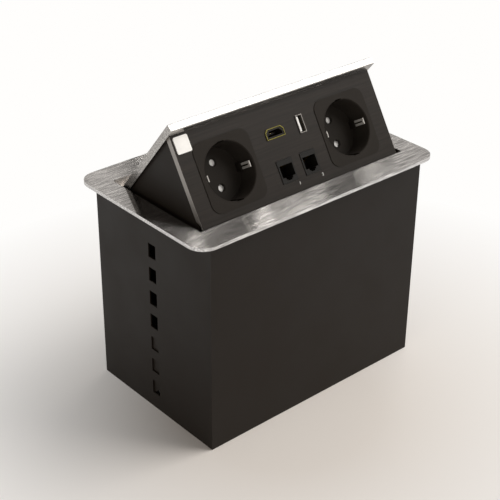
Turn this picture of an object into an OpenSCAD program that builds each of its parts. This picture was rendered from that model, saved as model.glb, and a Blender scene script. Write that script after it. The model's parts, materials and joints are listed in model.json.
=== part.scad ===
// In-desk power module: a steel housing hangs from a bezel in the desk top, and a wedge shaped
// flap with two earthed sockets, data ports and a USB outlet tilts up out of it.
// Millimetres. X runs along the long side, Y to the back, Z up.
// The origin is the centre of the housing's underside. The flap is drawn open, as it rests.

/* [Housing] */
// Outside width of the steel housing
housing_w = 207; // [195:1:230]
// Outside depth of the steel housing
housing_d = 133; // [128:1:160]
// Height from the housing's underside to the underside of the bezel
housing_h = 172.4; // [165:0.1:200]
// Thickness of the housing's sheet steel
sheet = 1.2; // [1:0.1:1.5]
// Width of the turned-in lips at the top and bottom of the housing
lip_w = 11; // [10:0.5:12]
// Number of square hanging holes in each end wall
ladder_count = 7; // [4:1:7]
// Spacing of the hanging holes
ladder_pitch = 20; // [17:0.5:21]
// Width of a hanging hole
ladder_hole_w = 8.5; // [6:0.5:10]
// Height of a hanging hole
ladder_hole_h = 11.5; // [8:0.5:13]
// Distance from the bezel's underside to the middle of the top hanging hole
ladder_drop = 33.4; // [30:0.2:36]

/* [Bezel] */
// Width of the bezel
bezel_w = 233; // [225:1:260]
// Depth of the bezel
bezel_d = 144; // [140:1:175]
// Thickness of the bezel's plate
bezel_t = 2.3; // [2:0.1:3]
// Corner radius of the bezel
bezel_corner = 13.7; // [8:0.1:16]
// Width of the opening in the bezel
opening_w = 198.4; // [190:0.2:200]
// Depth of the opening in the bezel
opening_d = 101; // [99:0.5:104]
// Corner radius of the opening in the bezel
opening_corner = 1.5; // [1:0.1:2]
// Wall of the collar that hangs under the opening
collar_t = 1.5; // [1.2:0.1:1.8]
// Height of the collar below the bezel's plate
collar_h = 12; // [11:0.5:13]

/* [Flap] */
// Angle that the flap opens from flush
open_angle = 50.8; // [46:0.2:52]
// Thickness of the lid plate
lid_t = 5.6; // [5.2:0.1:6]
// Gap between each end of the lid and the opening
lid_end_gap = 2.1; // [1.8:0.1:2.6]
// Gap between the front edge of the shut lid and the opening
lid_front_gap = 0.9; // [0.8:0.1:1.6]
// Distance from the pivot to the lid's back edge
lid_tail = 11; // [10:0.1:11.4]
// Distance from the opening's back edge to the pivot
pivot_inset = 12.7; // [12.4:0.1:14]
// Depth of the pivot below the top of the shut lid
pivot_drop = 4.3; // [4.2:0.05:4.5]
// How far the lid reaches past the face of the socket panel
lid_lip = 8.3; // [7:0.1:10]
// Lean of the socket panel from square to the lid
panel_lean = 19; // [18:0.5:20]
// Gap between the foot of the open panel and the front edge of the opening
foot_gap = 0.675; // [0.5:0.025:1.2]
// Thickness of the socket panel
panel_t = 4.3; // [3.5:0.1:4.5]
// How far each end of the panel stands in from the end of the lid
panel_inset = 1.8; // [1.5:0.1:3]
// Thickness of the flap's side plates
side_t = 3; // [2.5:0.1:3.2]
// How far the side plates stand in from the ends of the panel
side_inset = 0.8; // [0.5:0.1:1]
// Diameter of the hinge pins
pin_d = 4; // [3.5:0.1:4.2]

/* [Sockets] */
// Distance between the middles of the two sockets
socket_spacing = 114; // [112:0.5:118]
// Distance from the top of the panel to the middle of the sockets
socket_drop = 35.6; // [34.5:0.1:36]
// Width of a socket's face
face_w = 50; // [49:0.5:52]
// Height of a socket's face
face_h = 52; // [50:0.5:53]
// Corner radius of a socket's face
face_corner = 8; // [4:0.5:9]
// How far a socket's face stands proud of the panel
face_proud = 0.5; // [0.4:0.1:1]
// Diameter of a socket's recess at its floor
recess_d = 40; // [39:0.2:40.6]
// Depth of a socket's recess
recess_depth = 17.2; // [17:0.1:18]
// Spacing of the two pin holes
pin_spacing = 19; // [19:0.1:19.4]
// Diameter of a pin hole
pin_hole_d = 5.2; // [5.1:0.1:6]
// Depth of a socket's rear housing behind the panel's face
socket_depth = 33; // [30:0.5:34]
// Angle that a shutter turns to uncover the pin holes
shutter_angle = 40; // [38:1:44]

/* [Ports] */
// Sideways place of the display port's middle
hdmi_x = -9.2; // [-12:0.1:-8]
// Distance from the top of the panel to the display port's middle
hdmi_drop = 21.2; // [20:0.1:23]
// Width of the display port's opening
hdmi_w = 14; // [13.5:0.1:14.5]
// Height of the display port's opening
hdmi_h = 4.6; // [4.4:0.1:5]
// Sideways place of the USB outlet's middle
usb_x = 16; // [15:0.1:17.5]
// Distance from the top of the panel to the USB outlet's middle
usb_drop = 21.3; // [21:0.1:23]
// Length of the USB opening
usb_h = 12.5; // [12:0.1:13]
// Width of the USB opening
usb_w = 5.1; // [4.8:0.1:5.4]
// Distance between the middles of the two network jacks
jack_spacing = 22.6; // [20:0.1:24]
// Sideways place of the middle of the pair of network jacks
jack_x = 1.3; // [-1:0.1:2]
// Distance from the panel's lower edge to the middle of the jacks
jack_rise = 19.7; // [18.5:0.1:20.5]
// Width of a network jack's face
jack_w = 14.5; // [14:0.1:15]
// Height of a network jack's face
jack_h = 17; // [16.4:0.1:17.4]

/* [Drive and latch] */
// Module of the gear teeth
tooth_module = 1; // [1:0.01:1.02]
// Teeth of the full circle that the flap's toothed edge is part of
sector_teeth = 44; // [44:1:45]
// Teeth of the pinions
pinion_teeth = 12; // [12:1:13]
// Angle at which the pinions sit round the pivot
pinion_angle = 258; // [256:0.5:260]
// Radius of the spring drive's case
motor_r = 11; // [10:0.5:12]
// Radius of the damper's case
damper_r = 9; // [8:0.5:11]
// Travel of the latch plunger
latch_travel = 3; // [2:0.5:3.5]

/* [Back and base] */
// Width of the mains inlet's face
inlet_w = 50; // [48:1:54]
// Height of the mains inlet's face
inlet_h = 24; // [23:1:28]
// Height of the mains inlet's middle above the housing's underside
inlet_z = 30; // [24:1:40]
// Width of the cable outlet in the base
outlet_w = 90; // [60:1:110]
// Depth of the cable outlet in the base
outlet_d = 34; // [26:1:40]
// Distance of the cable outlet's middle from the middle of the base
outlet_y = 30; // [26:1:32]

/* [Hidden] */
$fn = 96;

// Overlap of a cutting shape past the face it cuts
cut = 0.4;
// Radial clearance of a turning fit
fit = 0.05;
// Clearance round a part dropped into a cut-out
play = 0.3;

// Housing, worked out
inner_w = housing_w - 2*sheet;
inner_d = housing_d - 2*sheet;
top_z = housing_h + bezel_t;
ladder_top = housing_h - ladder_drop;

// Flap, worked out. The flap's own frame has the pivot at its origin and the lid level
pivot_y = opening_d/2 - pivot_inset;
pivot_z = top_z - pivot_drop;
lid_w = opening_w - 2*lid_end_gap;
lid_front = -opening_d/2 + lid_front_gap - pivot_y;
lid_under = lid_t - pivot_drop;
panel_w = lid_w - 2*panel_inset;
panel_top_y = lid_front + lid_lip;
// Length of the panel: open, its foot just clears the front edge of the opening
panel_len = (opening_d/2 + pivot_y + panel_top_y*cos(open_angle) - lid_under*sin(open_angle) - foot_gap)
    /sin(open_angle - panel_lean);
side_out = panel_w/2 - side_inset;
side_in = side_out - side_t;
knuckle_r = pin_d/2 + 1.4;
// Foot of the panel's back face in the flap's frame
foot_y = panel_top_y + panel_len*sin(panel_lean) + panel_t*cos(panel_lean);
foot_z = -lid_under - panel_len*cos(panel_lean) + panel_t*sin(panel_lean);
// Head of the panel's back face, where it meets the lid
head_y = panel_top_y + panel_t/cos(panel_lean);

// Gears, worked out
sector_r = tooth_module*sector_teeth/2;
pinion_r = tooth_module*pinion_teeth/2;
gear_distance = sector_r + pinion_r;
pressure_angle = 20;
backlash = 0.12;
pinion_y = pivot_y + gear_distance*cos(pinion_angle);
pinion_z = pivot_z + gear_distance*sin(pinion_angle);
sector_gap_angle = pinion_angle + open_angle;
sector_step = 360/sector_teeth;
sector_addendum = 0.75*tooth_module;
dedendum = 1.25*tooth_module;
pinion_set_in = 0.2;
pinion_x = side_in + pinion_set_in;
pinion_face = side_t - 2*pinion_set_in;
case_gap = 1.5;
case_x = side_out + case_gap;
case_len = inner_w/2 - case_x;
case_wall = 1;
spindle_r = 2.5;
cap_t = 1.2;
ear_offset = 15;
ear_t = 2;
stud_r = 1.5;
nut_r = 3.2;
nut_t = 2.4;

// Stop ear of the side plates: it reaches out under the collar when the flap is open
stop_out = opening_w/2 + collar_t - 0.2;
stop_pad_t = 2;
stop_tab_t = 2.5;
stop_gap = 0.3;
stop_len = 10;
collar_foot = -(pivot_z - (housing_h - collar_h));
stop_top = collar_foot - stop_gap;
stop_far = 76;
stop_foot = stop_top - stop_pad_t - stop_tab_t;
pad_edge = 1;

// Outline of the side plates between the ear and the toothed edge
ear_brace = 8;
ear_brace_rise = 2;
web_low = 0.8*sector_r;
tail_low = 0.55*sector_r;

// Latch, worked out
plunger_r = 3;
plunger_tip_h = 3;
latch_gap = 0.3;
striker_t = 1.5;
striker_w = 24;
striker_foot = 12;
striker_screw_x = [-7, 7];
striker_below = 2.2;
striker_z = foot_z - striker_below;
striker_leg_y = foot_y + striker_below*tan(panel_lean);
latch_y = pivot_y + striker_leg_y + striker_foot/2;
latch_tip_z = pivot_z + striker_z - latch_gap;
latch_body_w = 18;
latch_body_d = 16;
latch_body_h = 30;
latch_reach = 7;
latch_body_top = latch_tip_z - latch_reach;
latch_shelf_z = latch_body_top - latch_body_h;
bracket_t = 1.5;
bracket_w = 40;
bracket_h = 30;
bracket_stud_drop = 12;
shelf_edge = 2;

// Sockets, worked out
recess_floor = recess_depth - face_proud;
recess_draft = 1.4;
floor_t = 2;
mouth_r = recess_d/2 + recess_draft;
cup_r = mouth_r + 1.3;
neck_side = 2*cup_r + 2;
neck_behind = 2;
mouth_bevel = 0.5;
pin_lead = 0.6;
keyway_w = 6;
keyway_r = mouth_r + 0.5;
shutter_t = 1.6;
shutter_r = 14.6;
shutter_hole_r = pin_hole_d/2 + 0.2;
shutter_y = recess_floor + floor_t + play;
rear_y = shutter_y + shutter_t + play;
post_r = 2;
clip_w = 4.6;
clip_slot = 1.2;
clip_band = 1.6;
clip_t = 0.8;
clip_x = recess_d/2 - 0.7;
clip_mouth = 1.2;
strap_play = 0.2;
strap_y = rear_y + strap_play;
tube_r = 3.4;
tube_hole_r = 2.45;
tube_y = rear_y + 1.4;
tube_back = 2;
tube_blind = 3;
tube_slot_w = 0.8;
tube_slot_short = 2;
tube_play = 0.2;
post_seat = 1;

// Ports, worked out
shell_t = 0.5;
port_flare = 1.1;
hdmi_depth = 22;
usb_depth = 26;
jack_depth = 28;
jack_drop = panel_len - jack_rise;
jack_proud = 0.5;
jack_band = 3.9;
jack_hole_w = 12.1;
jack_hole_h = 9;
jack_hole_depth = 13;
jack_count = 2;
// Notches for the plug's latch: width, height, drop below the hole and how much shorter they are
jack_notches = [[6.4, 1.7, 0.75, 2], [3.6, 1.4, 1.9, 4]];
contact_count = 8;
contact_pitch = 1.02;
contact_w = 0.36;
contact_t = 0.55;
contact_y = 2;
contact_dip = 3.6;
badge_size = 12.2;
badge_t = 0.6;
badge_corner = 1.2;
badge_x = -87.3;
badge_drop = 7.4;

// Clamps, worked out
clamp_t = 1.5;
clamp_w = 26;
clamp_z = 9;
clamp_h = 57;
clamp_cut = 20;
clamp_foot = 20;
clamp_screw_x = inner_w/2 - clamp_foot/2 - 2;
clamp_screw_r = 2.5;
knob_r = 8;

// Step by which the bezel's resting face stands below the housing's top
rest_step = 0.3;

// Plate joints of the housing: studs under the bezel and screws in the base
stud_x = [-82, 0, 82];
stud_y = inner_d/2 - lip_w/2;
stud_len = 7.5;
pan_r = 2.9;
pan_h = 1.7;
slot_w = 0.7;
slot_len = 4;
slot_deep = 0.9;
base_screw_r = 1.5;
base_screw_x = inner_w/2 - 8;
base_screw_places = [for (sx = [-1, 0, 1], sy = [-1, 1]) [sx*base_screw_x, sy*(inner_d/2 - lip_w/2)]];
tray_w = inner_w - 2*clamp_t - 2*play;
tray_end_h = 24;
tray_end_d = 40;
grommet_t = 1.6;

// Mains inlet
inlet_x = 55;
inlet_body_w = 30;
inlet_body_h = 22;
inlet_hole_x = 20;
inlet_flange_t = 2.4;
inlet_corner = 4;
inlet_depth = 24;
inlet_mouth_w = 24.4;
inlet_mouth_h = 16.6;
inlet_mouth_depth = 15.5;
inlet_chamfer = 4.5;
inlet_pin_w = 2;
inlet_pin_h = 4;
inlet_tab = 8;
inlet_set_back = 4;
inlet_pin_places = [[-7, -1.5], [0, 2.5], [7, -1.5]];
inlet_face_y = housing_d/2 + inlet_flange_t;

// Earthing stud on the base
earth_x = -70;
earth_y = 40;
earth_r = 2;
earth_h = 14;
earth_nut_r = 4;
earth_nut_t = 3;
earth_nut_gap = 1;

// Hinge bushes and pins
bush_r = 3;
bush_len = collar_t + 1.2;
bush_flange_t = 1;
bush_flange_r = 4.2;
hinge_pin_out = opening_w/2 + bush_len - 0.3;
pocket_side = knuckle_r + play;

// Thumb screws of the clamps
screw_below = 22;
screw_above = 10;
knob_h = 8;
knob_lobes = 6;
lobe_r = 2.4;

// Wall studs: two for each drive unit and two for the latch bracket
ear_turn = 30;
ear_places = [for (s = [-1, 1]) [
    pinion_y + s*ear_offset*cos(ear_turn),
    pinion_z - s*ear_offset*sin(ear_turn)
]];
ear_r = 4;
stud_end = 0.6;
wall_stud_len = ear_t + nut_t + stud_end;
bracket_stud_x = [-14, 14];
bracket_stud_z = latch_shelf_z - bracket_stud_drop;

// Flat spiral spring of the drive
spiral_turns = 5;
spiral_t = 0.35;
spiral_steps = 24;
spiral_in = spindle_r + 0.6;
spiral_out = motor_r - case_wall - 0.6;
spindle_end = 2.6;
spring_gap = 0.4;
rotor_gap = 0.5;
rotor_spindle = 0.6;

// Inside of the latch
latch_wall = 2;
latch_collar_r = 5;
latch_collar_t = 1.6;
latch_spring_r = 3.6;
latch_wire_r = 0.4;
latch_coils = 7;
plunger_stub = 6;
stub_r = latch_spring_r - 1.2;
plunger_foot_z = latch_body_top - latch_wall - latch_collar_t;
latch_spring_h = plunger_foot_z - latch_shelf_z - latch_wall;

// Edges and end returns of the flap's plates
lid_edge = 0.5;
panel_skin = 1.2;
return_gap = 5.5;

// Flanges of the side plates and the screws of the flap
flange_w = 8;
flange_t = 2;
flange_x = side_in - flange_w/2;
flange_front = head_y + 2;
flange_back = -24;
flange_top = 8;
flange_low = panel_len - 14;
lid_screw_y = [-62, -32];
panel_screw_v = [flange_top + 8, flange_low - 7.5];
frame_screw_r = 1.5;
screw_grip = 3;
screw_end = 0.3;
screw_head_r = 2.8;
screw_head_h = 1.8;

// Wiring cover
cover_t = 1.2;
cover_y = -11.5;
cover_knee = [-24, -48];
cover_lip = 9;
cover_edge = 1;
// Distance from each fold to the middles of its screws
cover_screw_in = 5.4;
cover_screw_x = [-60, 60];
cover_screw_y = cover_y - cover_screw_in;
cover_screw_v = panel_len - cover_edge - cover_screw_in;

// Insides of the ports
hdmi_body_w = 17;
hdmi_body_h = 8;
hdmi_hole_depth = 12;
hdmi_slope = 2.2;
usb_body_w = 8;
usb_body_h = 15.4;
usb_hole_depth = 13.4;
port_proud = 0.8;
port_mouth_depth = 0.6;
body_y = panel_t + fit;
tongue_t = 1.4;
tongue_len = 7.7;
tongue_gap = 0.7;

// Turns a flat outline in (y, z) into a slab that runs along X from x0
module slab_x(x0, len) {
    translate([x0, 0, 0]) rotate([90, 0, 90]) linear_extrude(len) children();
}

// Round bar along X from x0
module bar_x(r, x0, len) {
    translate([x0, 0, 0]) rotate([0, 90, 0]) cylinder(r = r, h = len);
}

// Round bar along Y from y0
module bar_y(r, y0, len) {
    translate([0, y0, 0]) rotate([-90, 0, 0]) cylinder(r = r, h = len);
}

// Cone along Y from radius r1 at y0 to r2
module cone_y(r1, r2, y0, len) {
    translate([0, y0, 0]) rotate([-90, 0, 0]) cylinder(r1 = r1, r2 = r2, h = len);
}

// Flat rectangle with round corners, centred
module round_rect(w, h, r) {
    hull() {
        for (sx = [-1, 1], sy = [-1, 1]) {
            translate([sx*(w/2 - r), sy*(h/2 - r)]) circle(r = r, $fn = 32);
        }
    }
}

// Slab with round corners in the XZ plane, from y0 inwards
module face_slab(w, h, r, y0, len) {
    translate([0, y0 + len, 0]) rotate([90, 0, 0]) linear_extrude(len) round_rect(w, h, r);
}

// Box centred in X and Z, from y0 inwards
module block_y(w, h, y0, len) {
    translate([-w/2, y0, -h/2]) cube([w, len, h]);
}

// Moves the flap's own frame to its open place
module open_flap() {
    translate([0, pivot_y, pivot_z]) rotate([-open_angle, 0, 0]) children();
}

// Moves the panel's frame into the flap's: X along, Z up the panel, Y through it
module on_panel() {
    open_flap() translate([0, panel_top_y, -lid_under]) rotate([panel_lean, 0, 0]) children();
}

// Places a child at a socket: side is -1 for the left one and 1 for the right one
module at_socket(side) {
    on_panel() translate([side*socket_spacing/2, 0, -socket_drop]) children();
}

// Places a child at each network jack
module at_jacks() {
    for (i = [0:jack_count - 1]) {
        on_panel() translate([jack_x + (i - (jack_count - 1)/2)*jack_spacing, 0, -jack_drop]) children();
    }
}

// Mirrors a child to the left when side is -1
module on_side(side) {
    mirror([side < 0 ? 1 : 0, 0, 0]) children();
}

// Involute angle at radius r of a gear with base radius rb, in degrees
function involute(r, rb) = r <= rb ? 0 : sqrt(pow(r/rb, 2) - 1)*180/PI - acos(rb/r);

// Half the angle that a tooth fills at radius r
function half_tooth(r, teeth) =
    let (rp = tooth_module*teeth/2)
    let (rb = rp*cos(pressure_angle))
    90/teeth - backlash/2*180/(PI*rp) + involute(rp, rb) - involute(r, rb);

// Outline points of one tooth pointing along +X
function tooth_points(teeth, r0, r1, steps = 5) = concat(
    [for (i = [0:steps]) let (r = r0 + (r1 - r0)*i/steps, a = half_tooth(r, teeth)) [r*cos(a), -r*sin(a)]],
    [for (i = [steps:-1:0]) let (r = r0 + (r1 - r0)*i/steps, a = half_tooth(r, teeth)) [r*cos(a), r*sin(a)]]
);

// Pinion outline: its first tooth points back at the pivot
module pinion_outline() {
    root = pinion_r - dedendum;
    for (k = [0:pinion_teeth - 1]) {
        rotate(pinion_angle + 180 + k*360/pinion_teeth) {
            polygon(tooth_points(pinion_teeth, root - 0.6, pinion_r + tooth_module));
        }
    }
    circle(r = root);
}

// Toothed edge of a side plate, in the flap's frame
module sector_outline() {
    root = sector_r - dedendum;
    first = sector_gap_angle - 7.5*sector_step;
    last = sector_gap_angle + 0.5*sector_step;
    for (k = [-8:0]) {
        rotate(sector_gap_angle + (k + 0.5)*sector_step) {
            polygon(tooth_points(sector_teeth, root - 0.6, sector_r + sector_addendum));
        }
    }
    intersection() {
        circle(r = root);
        polygon([
            [0, 0],
            2*root*[cos(first - 3), sin(first - 3)],
            2*root*[cos((first + last)/2), sin((first + last)/2)],
            2*root*[cos(last + 3), sin(last + 3)]
        ]);
    }
}

// One helical spring along Z, made of one unbroken six sided wire
module helix(r, wire_r, pitch, turns) {
    steps = turns*8;
    sides = 6;
    rings = [for (i = [0:steps], k = [0:sides - 1])
        let (a = i*360/8, b = k*360/sides)
        [(r + wire_r*cos(b))*cos(a), (r + wire_r*cos(b))*sin(a), pitch*a/360 + wire_r*sin(b)]];
    sides_of = [for (i = [0:steps - 1], k = [0:sides - 1])
        let (p = i*sides + k, q = i*sides + (k + 1) % sides)
        each [[p, p + sides, q], [q, p + sides, q + sides]]];
    ends = [for (k = [1:sides - 2]) each [
        [0, k, k + 1],
        [steps*sides, steps*sides + k + 1, steps*sides + k]
    ]];
    polyhedron(points = rings, faces = concat(sides_of, ends));
}

// Sheet steel housing: four walls with lips turned in at the top and bottom
module housing() {
    color([0.17, 0.16, 0.15]) difference() {
        translate([-housing_w/2, -housing_d/2, 0]) cube([housing_w, housing_d, housing_h]);
        // Room inside the walls
        translate([-inner_w/2, -inner_d/2, sheet]) cube([inner_w, inner_d, housing_h - 2*sheet]);
        // Opening of the floor, inside the bottom lips
        translate([-inner_w/2 + lip_w, -inner_d/2 + lip_w, -cut])
            cube([inner_w - 2*lip_w, inner_d - 2*lip_w, sheet + 2*cut]);
        // Opening at the top, for the bezel's collar and what hangs from it
        translate([-inner_w/2, -inner_d/2 + lip_w, housing_h - sheet - cut])
            cube([inner_w, inner_d - 2*lip_w, sheet + 2*cut]);
        // Ladder of hanging holes in the end walls
        for (i = [0:ladder_count - 1]) {
            z = ladder_top - i*ladder_pitch;
            translate([-housing_w/2 - cut, -ladder_hole_w/2, z - ladder_hole_h/2])
                cube([housing_w + 2*cut, ladder_hole_w, ladder_hole_h]);
        }
        // Stud holes in the top lips
        for (x = stud_x, sy = [-1, 1]) {
            translate([x, sy*stud_y, housing_h - sheet - cut]) cylinder(r = stud_r + play, h = sheet + 2*cut);
        }
        // Screw holes in the bottom lips
        for (p = base_screw_places) {
            translate([p[0], p[1], -cut]) cylinder(r = base_screw_r, h = sheet + 2*cut);
        }
        // Cut-out and screw holes of the mains inlet in the back wall
        translate([inlet_x, housing_d/2 - sheet/2, inlet_z]) {
            cube([inlet_body_w + 2*play, sheet + 2*cut, inlet_body_h + 2*play], center = true);
        }
        for (sx = [-1, 1]) {
            translate([inlet_x + sx*inlet_hole_x, 0, inlet_z])
                bar_y(stud_r + play, inner_d/2 - cut, sheet + 2*cut);
        }
    }
}

// Base plate: it lies on the bottom lips, has the cable outlet and two upturned ends
module base_plate() {
    color([0.72, 0.71, 0.69]) difference() {
        union() {
            translate([-tray_w/2, -inner_d/2 + play, sheet]) cube([tray_w, inner_d - 2*play, sheet]);
            for (side = [-1, 1]) on_side(side)
                translate([tray_w/2 - sheet, -tray_end_d/2, sheet]) cube([sheet, tray_end_d, tray_end_h]);
        }
        translate([0, outlet_y, 1.5*sheet]) cube([outlet_w, outlet_d, 2*sheet], center = true);
        for (p = base_screw_places) {
            translate([p[0], p[1], sheet - cut]) cylinder(r = base_screw_r + fit, h = sheet + 2*cut);
        }
        // Hole of the earth stud
        translate([earth_x, earth_y, sheet - cut]) cylinder(r = earth_r, h = sheet + 2*cut);
    }
}

// Six pan head screws that hold the base plate down on the lips
module base_screws() {
    color([0.75, 0.75, 0.74]) for (p = base_screw_places) {
        translate([p[0], p[1], 0]) difference() {
            union() {
                translate([0, 0, fit]) cylinder(r = base_screw_r, h = 2*sheet);
                translate([0, 0, 2*sheet]) cylinder(r = pan_r, h = pan_h);
            }
            // Cross slots in the head
            for (a = [0, 90]) rotate(a) translate([-slot_len/2, -slot_w/2, 2*sheet + pan_h - slot_deep])
                cube([slot_len, slot_w, 2*slot_deep]);
        }
    }
}

// Rubber edging round the cable outlet, with a groove that grips the base plate
module outlet_grommet() {
    color([0.09, 0.09, 0.09]) translate([0, outlet_y, sheet]) difference() {
        translate([0, 0, sheet/2])
            cube([outlet_w + 2*grommet_t, outlet_d + 2*grommet_t, sheet + 2*grommet_t], center = true);
        cube([outlet_w - 2*grommet_t, outlet_d - 2*grommet_t, 6*sheet], center = true);
        // Groove for the plate's edge
        difference() {
            translate([0, 0, sheet/2]) cube([2*outlet_w, 2*outlet_d, sheet], center = true);
            cube([outlet_w, outlet_d, 4*sheet], center = true);
        }
        // Relief so that the edging doesn't stand below the housing
        translate([-outlet_w, -outlet_d, -3*grommet_t - sheet]) cube([2*outlet_w, 2*outlet_d, 3*grommet_t]);
    }
}

// Outline of the mains inlet's mouth: a rectangle with its two upper corners cut off
module inlet_mouth() {
    polygon([
        [-inlet_mouth_w/2, -inlet_mouth_h/2],
        [inlet_mouth_w/2, -inlet_mouth_h/2],
        [inlet_mouth_w/2, inlet_mouth_h/2 - inlet_chamfer],
        [inlet_mouth_w/2 - inlet_chamfer, inlet_mouth_h/2],
        [-inlet_mouth_w/2 + inlet_chamfer, inlet_mouth_h/2],
        [-inlet_mouth_w/2, inlet_mouth_h/2 - inlet_chamfer]
    ]);
}

// Mains inlet in the back wall: its mouth faces backwards
module mains_inlet() {
    color([0.08, 0.08, 0.08]) translate([inlet_x, 0, inlet_z]) difference() {
        union() {
            translate([0, housing_d/2, 0]) face_slab(inlet_w, inlet_h, inlet_corner, 0, inlet_flange_t);
            block_y(inlet_body_w, inlet_body_h, inlet_face_y - inlet_depth, inlet_depth - inlet_flange_t/2);
        }
        translate([0, inlet_face_y + cut, 0]) rotate([90, 0, 0])
            linear_extrude(inlet_mouth_depth + cut) inlet_mouth();
        for (sx = [-1, 1]) {
            translate([sx*inlet_hole_x, 0, 0]) bar_y(stud_r + fit, housing_d/2 - cut, inlet_flange_t + 2*cut);
        }
        // Sockets of the three flat pins
        for (p = inlet_pin_places) {
            translate([p[0], 0, p[1]])
                block_y(inlet_pin_w, inlet_pin_h, inlet_face_y - inlet_depth - cut, inlet_depth);
        }
    }
}

// Three flat pins of the mains inlet
module inlet_pins() {
    color([0.8, 0.78, 0.7]) for (p = inlet_pin_places) {
        translate([inlet_x + p[0], 0, inlet_z + p[1]])
            block_y(inlet_pin_w, inlet_pin_h, inlet_face_y - inlet_depth - inlet_tab,
                inlet_depth + inlet_tab - inlet_set_back);
    }
}

// Two screws of the mains inlet
module inlet_screws() {
    color([0.75, 0.75, 0.74]) for (sx = [-1, 1]) {
        translate([inlet_x + sx*inlet_hole_x, 0, inlet_z]) difference() {
            union() {
                bar_y(stud_r, inner_d/2 - nut_t - 1, sheet + inlet_flange_t + nut_t + 1);
                bar_y(pan_r, inlet_face_y, pan_h);
            }
            for (a = [0, 90]) rotate([0, a, 0])
                block_y(slot_len, slot_w, inlet_face_y + pan_h - slot_deep, 2*slot_deep);
        }
    }
}

// Nut with its bore along Y, from y0
module nut_y(y0) {
    difference() {
        translate([0, y0, 0]) rotate([-90, 0, 0]) cylinder(r = nut_r, h = nut_t, $fn = 6);
        bar_y(stud_r + fit, y0 - cut, nut_t + 2*cut);
    }
}

// Two nuts behind the mains inlet
module inlet_nuts() {
    color([0.75, 0.75, 0.74]) for (sx = [-1, 1]) {
        translate([inlet_x + sx*inlet_hole_x, 0, inlet_z]) nut_y(inner_d/2 - nut_t);
    }
}

// Earthing stud that stands on the base plate
module earth_stud() {
    color([0.8, 0.66, 0.3]) translate([earth_x, earth_y, sheet]) cylinder(r = earth_r, h = earth_h);
}

// Two nuts on the earthing stud
module earth_nuts() {
    color([0.8, 0.66, 0.3]) for (i = [0, 1]) {
        translate([earth_x, earth_y, 2*sheet + i*(earth_nut_t + earth_nut_gap)]) difference() {
            cylinder(r = earth_nut_r, h = earth_nut_t, $fn = 6);
            translate([0, 0, -cut]) cylinder(r = earth_r + fit, h = earth_nut_t + 2*cut);
        }
    }
}

// Bezel: the plate that rests on the desk, with a collar down into the housing
module bezel() {
    color([0.66, 0.64, 0.62]) difference() {
        union() {
            translate([0, 0, housing_h]) linear_extrude(bezel_t) difference() {
                round_corner_plate(bezel_w, bezel_d, bezel_corner);
                round_corner_plate(opening_w, opening_d, opening_corner);
            }
            translate([0, 0, housing_h - collar_h]) linear_extrude(collar_h + bezel_t/2) difference() {
                square([opening_w + 2*collar_t, opening_d + 2*collar_t], center = true);
                round_corner_plate(opening_w, opening_d, opening_corner);
            }
            // Resting face on the desk, all round the housing
            translate([0, 0, housing_h - rest_step]) linear_extrude(rest_step + bezel_t/2) difference() {
                round_corner_plate(bezel_w, bezel_d, bezel_corner);
                square([housing_w + 2*play, housing_d + 2*play], center = true);
            }
        }
        // Holes of the hinge bushes
        translate([0, pivot_y, pivot_z]) for (side = [-1, 1]) {
            on_side(side) bar_x(bush_r, opening_w/2 - cut, bush_len + cut);
        }
    }
}

// Exact flat plate with round corners
module round_corner_plate(w, d, r) {
    square([w - 2*r, d], center = true);
    square([w, d - 2*r], center = true);
    for (sx = [-1, 1], sy = [-1, 1]) translate([sx*(w/2 - r), sy*(d/2 - r)]) circle(r = r);
}

// Six studs under the bezel
module bezel_studs() {
    color([0.75, 0.75, 0.74]) for (x = stud_x, sy = [-1, 1]) {
        translate([x, sy*stud_y, housing_h - stud_len]) cylinder(r = stud_r, h = stud_len);
    }
}

// Six nuts that clamp the housing's top lips to the bezel
module bezel_nuts() {
    color([0.75, 0.75, 0.74]) for (x = stud_x, sy = [-1, 1]) {
        translate([x, sy*stud_y, housing_h - sheet - nut_t]) difference() {
            cylinder(r = nut_r, h = nut_t, $fn = 6);
            translate([0, 0, -cut]) cylinder(r = stud_r + fit, h = nut_t + 2*cut);
        }
    }
}

// Flanged bush that carries a hinge pin in the collar's end wall
module hinge_bush(side) {
    color([0.13, 0.13, 0.13]) translate([0, pivot_y, pivot_z]) on_side(side) difference() {
        union() {
            bar_x(bush_r, opening_w/2, bush_len);
            bar_x(bush_flange_r, opening_w/2 - bush_flange_t, bush_flange_t);
        }
        bar_x(pin_d/2 + fit, opening_w/2 - 2*bush_flange_t, bush_len + 3*bush_flange_t);
    }
}

module hinge_bush_left() {
    hinge_bush(-1);
}

module hinge_bush_right() {
    hinge_bush(1);
}

// Hanging clamp, parked on the inside of the end wall behind the lowest hanging holes
module clamp(side) {
    color([0.15, 0.15, 0.15]) on_side(side) difference() {
        union() {
            slab_x(inner_w/2 - clamp_t, clamp_t) translate([-clamp_w/2, clamp_z]) polygon([
                [clamp_w, 0], [clamp_w, clamp_h], [0, clamp_h], [0, clamp_cut], [clamp_cut, 0]
            ]);
            translate([inner_w/2 - clamp_foot, -clamp_w/2, clamp_z + clamp_h - 2*clamp_t])
                cube([clamp_foot, clamp_w, 2*clamp_t]);
        }
        translate([clamp_screw_x, 0, clamp_z + clamp_h - 3*clamp_t])
            cylinder(r = clamp_screw_r + fit, h = 4*clamp_t);
    }
}

module clamp_left() {
    clamp(-1);
}

module clamp_right() {
    clamp(1);
}

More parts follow.
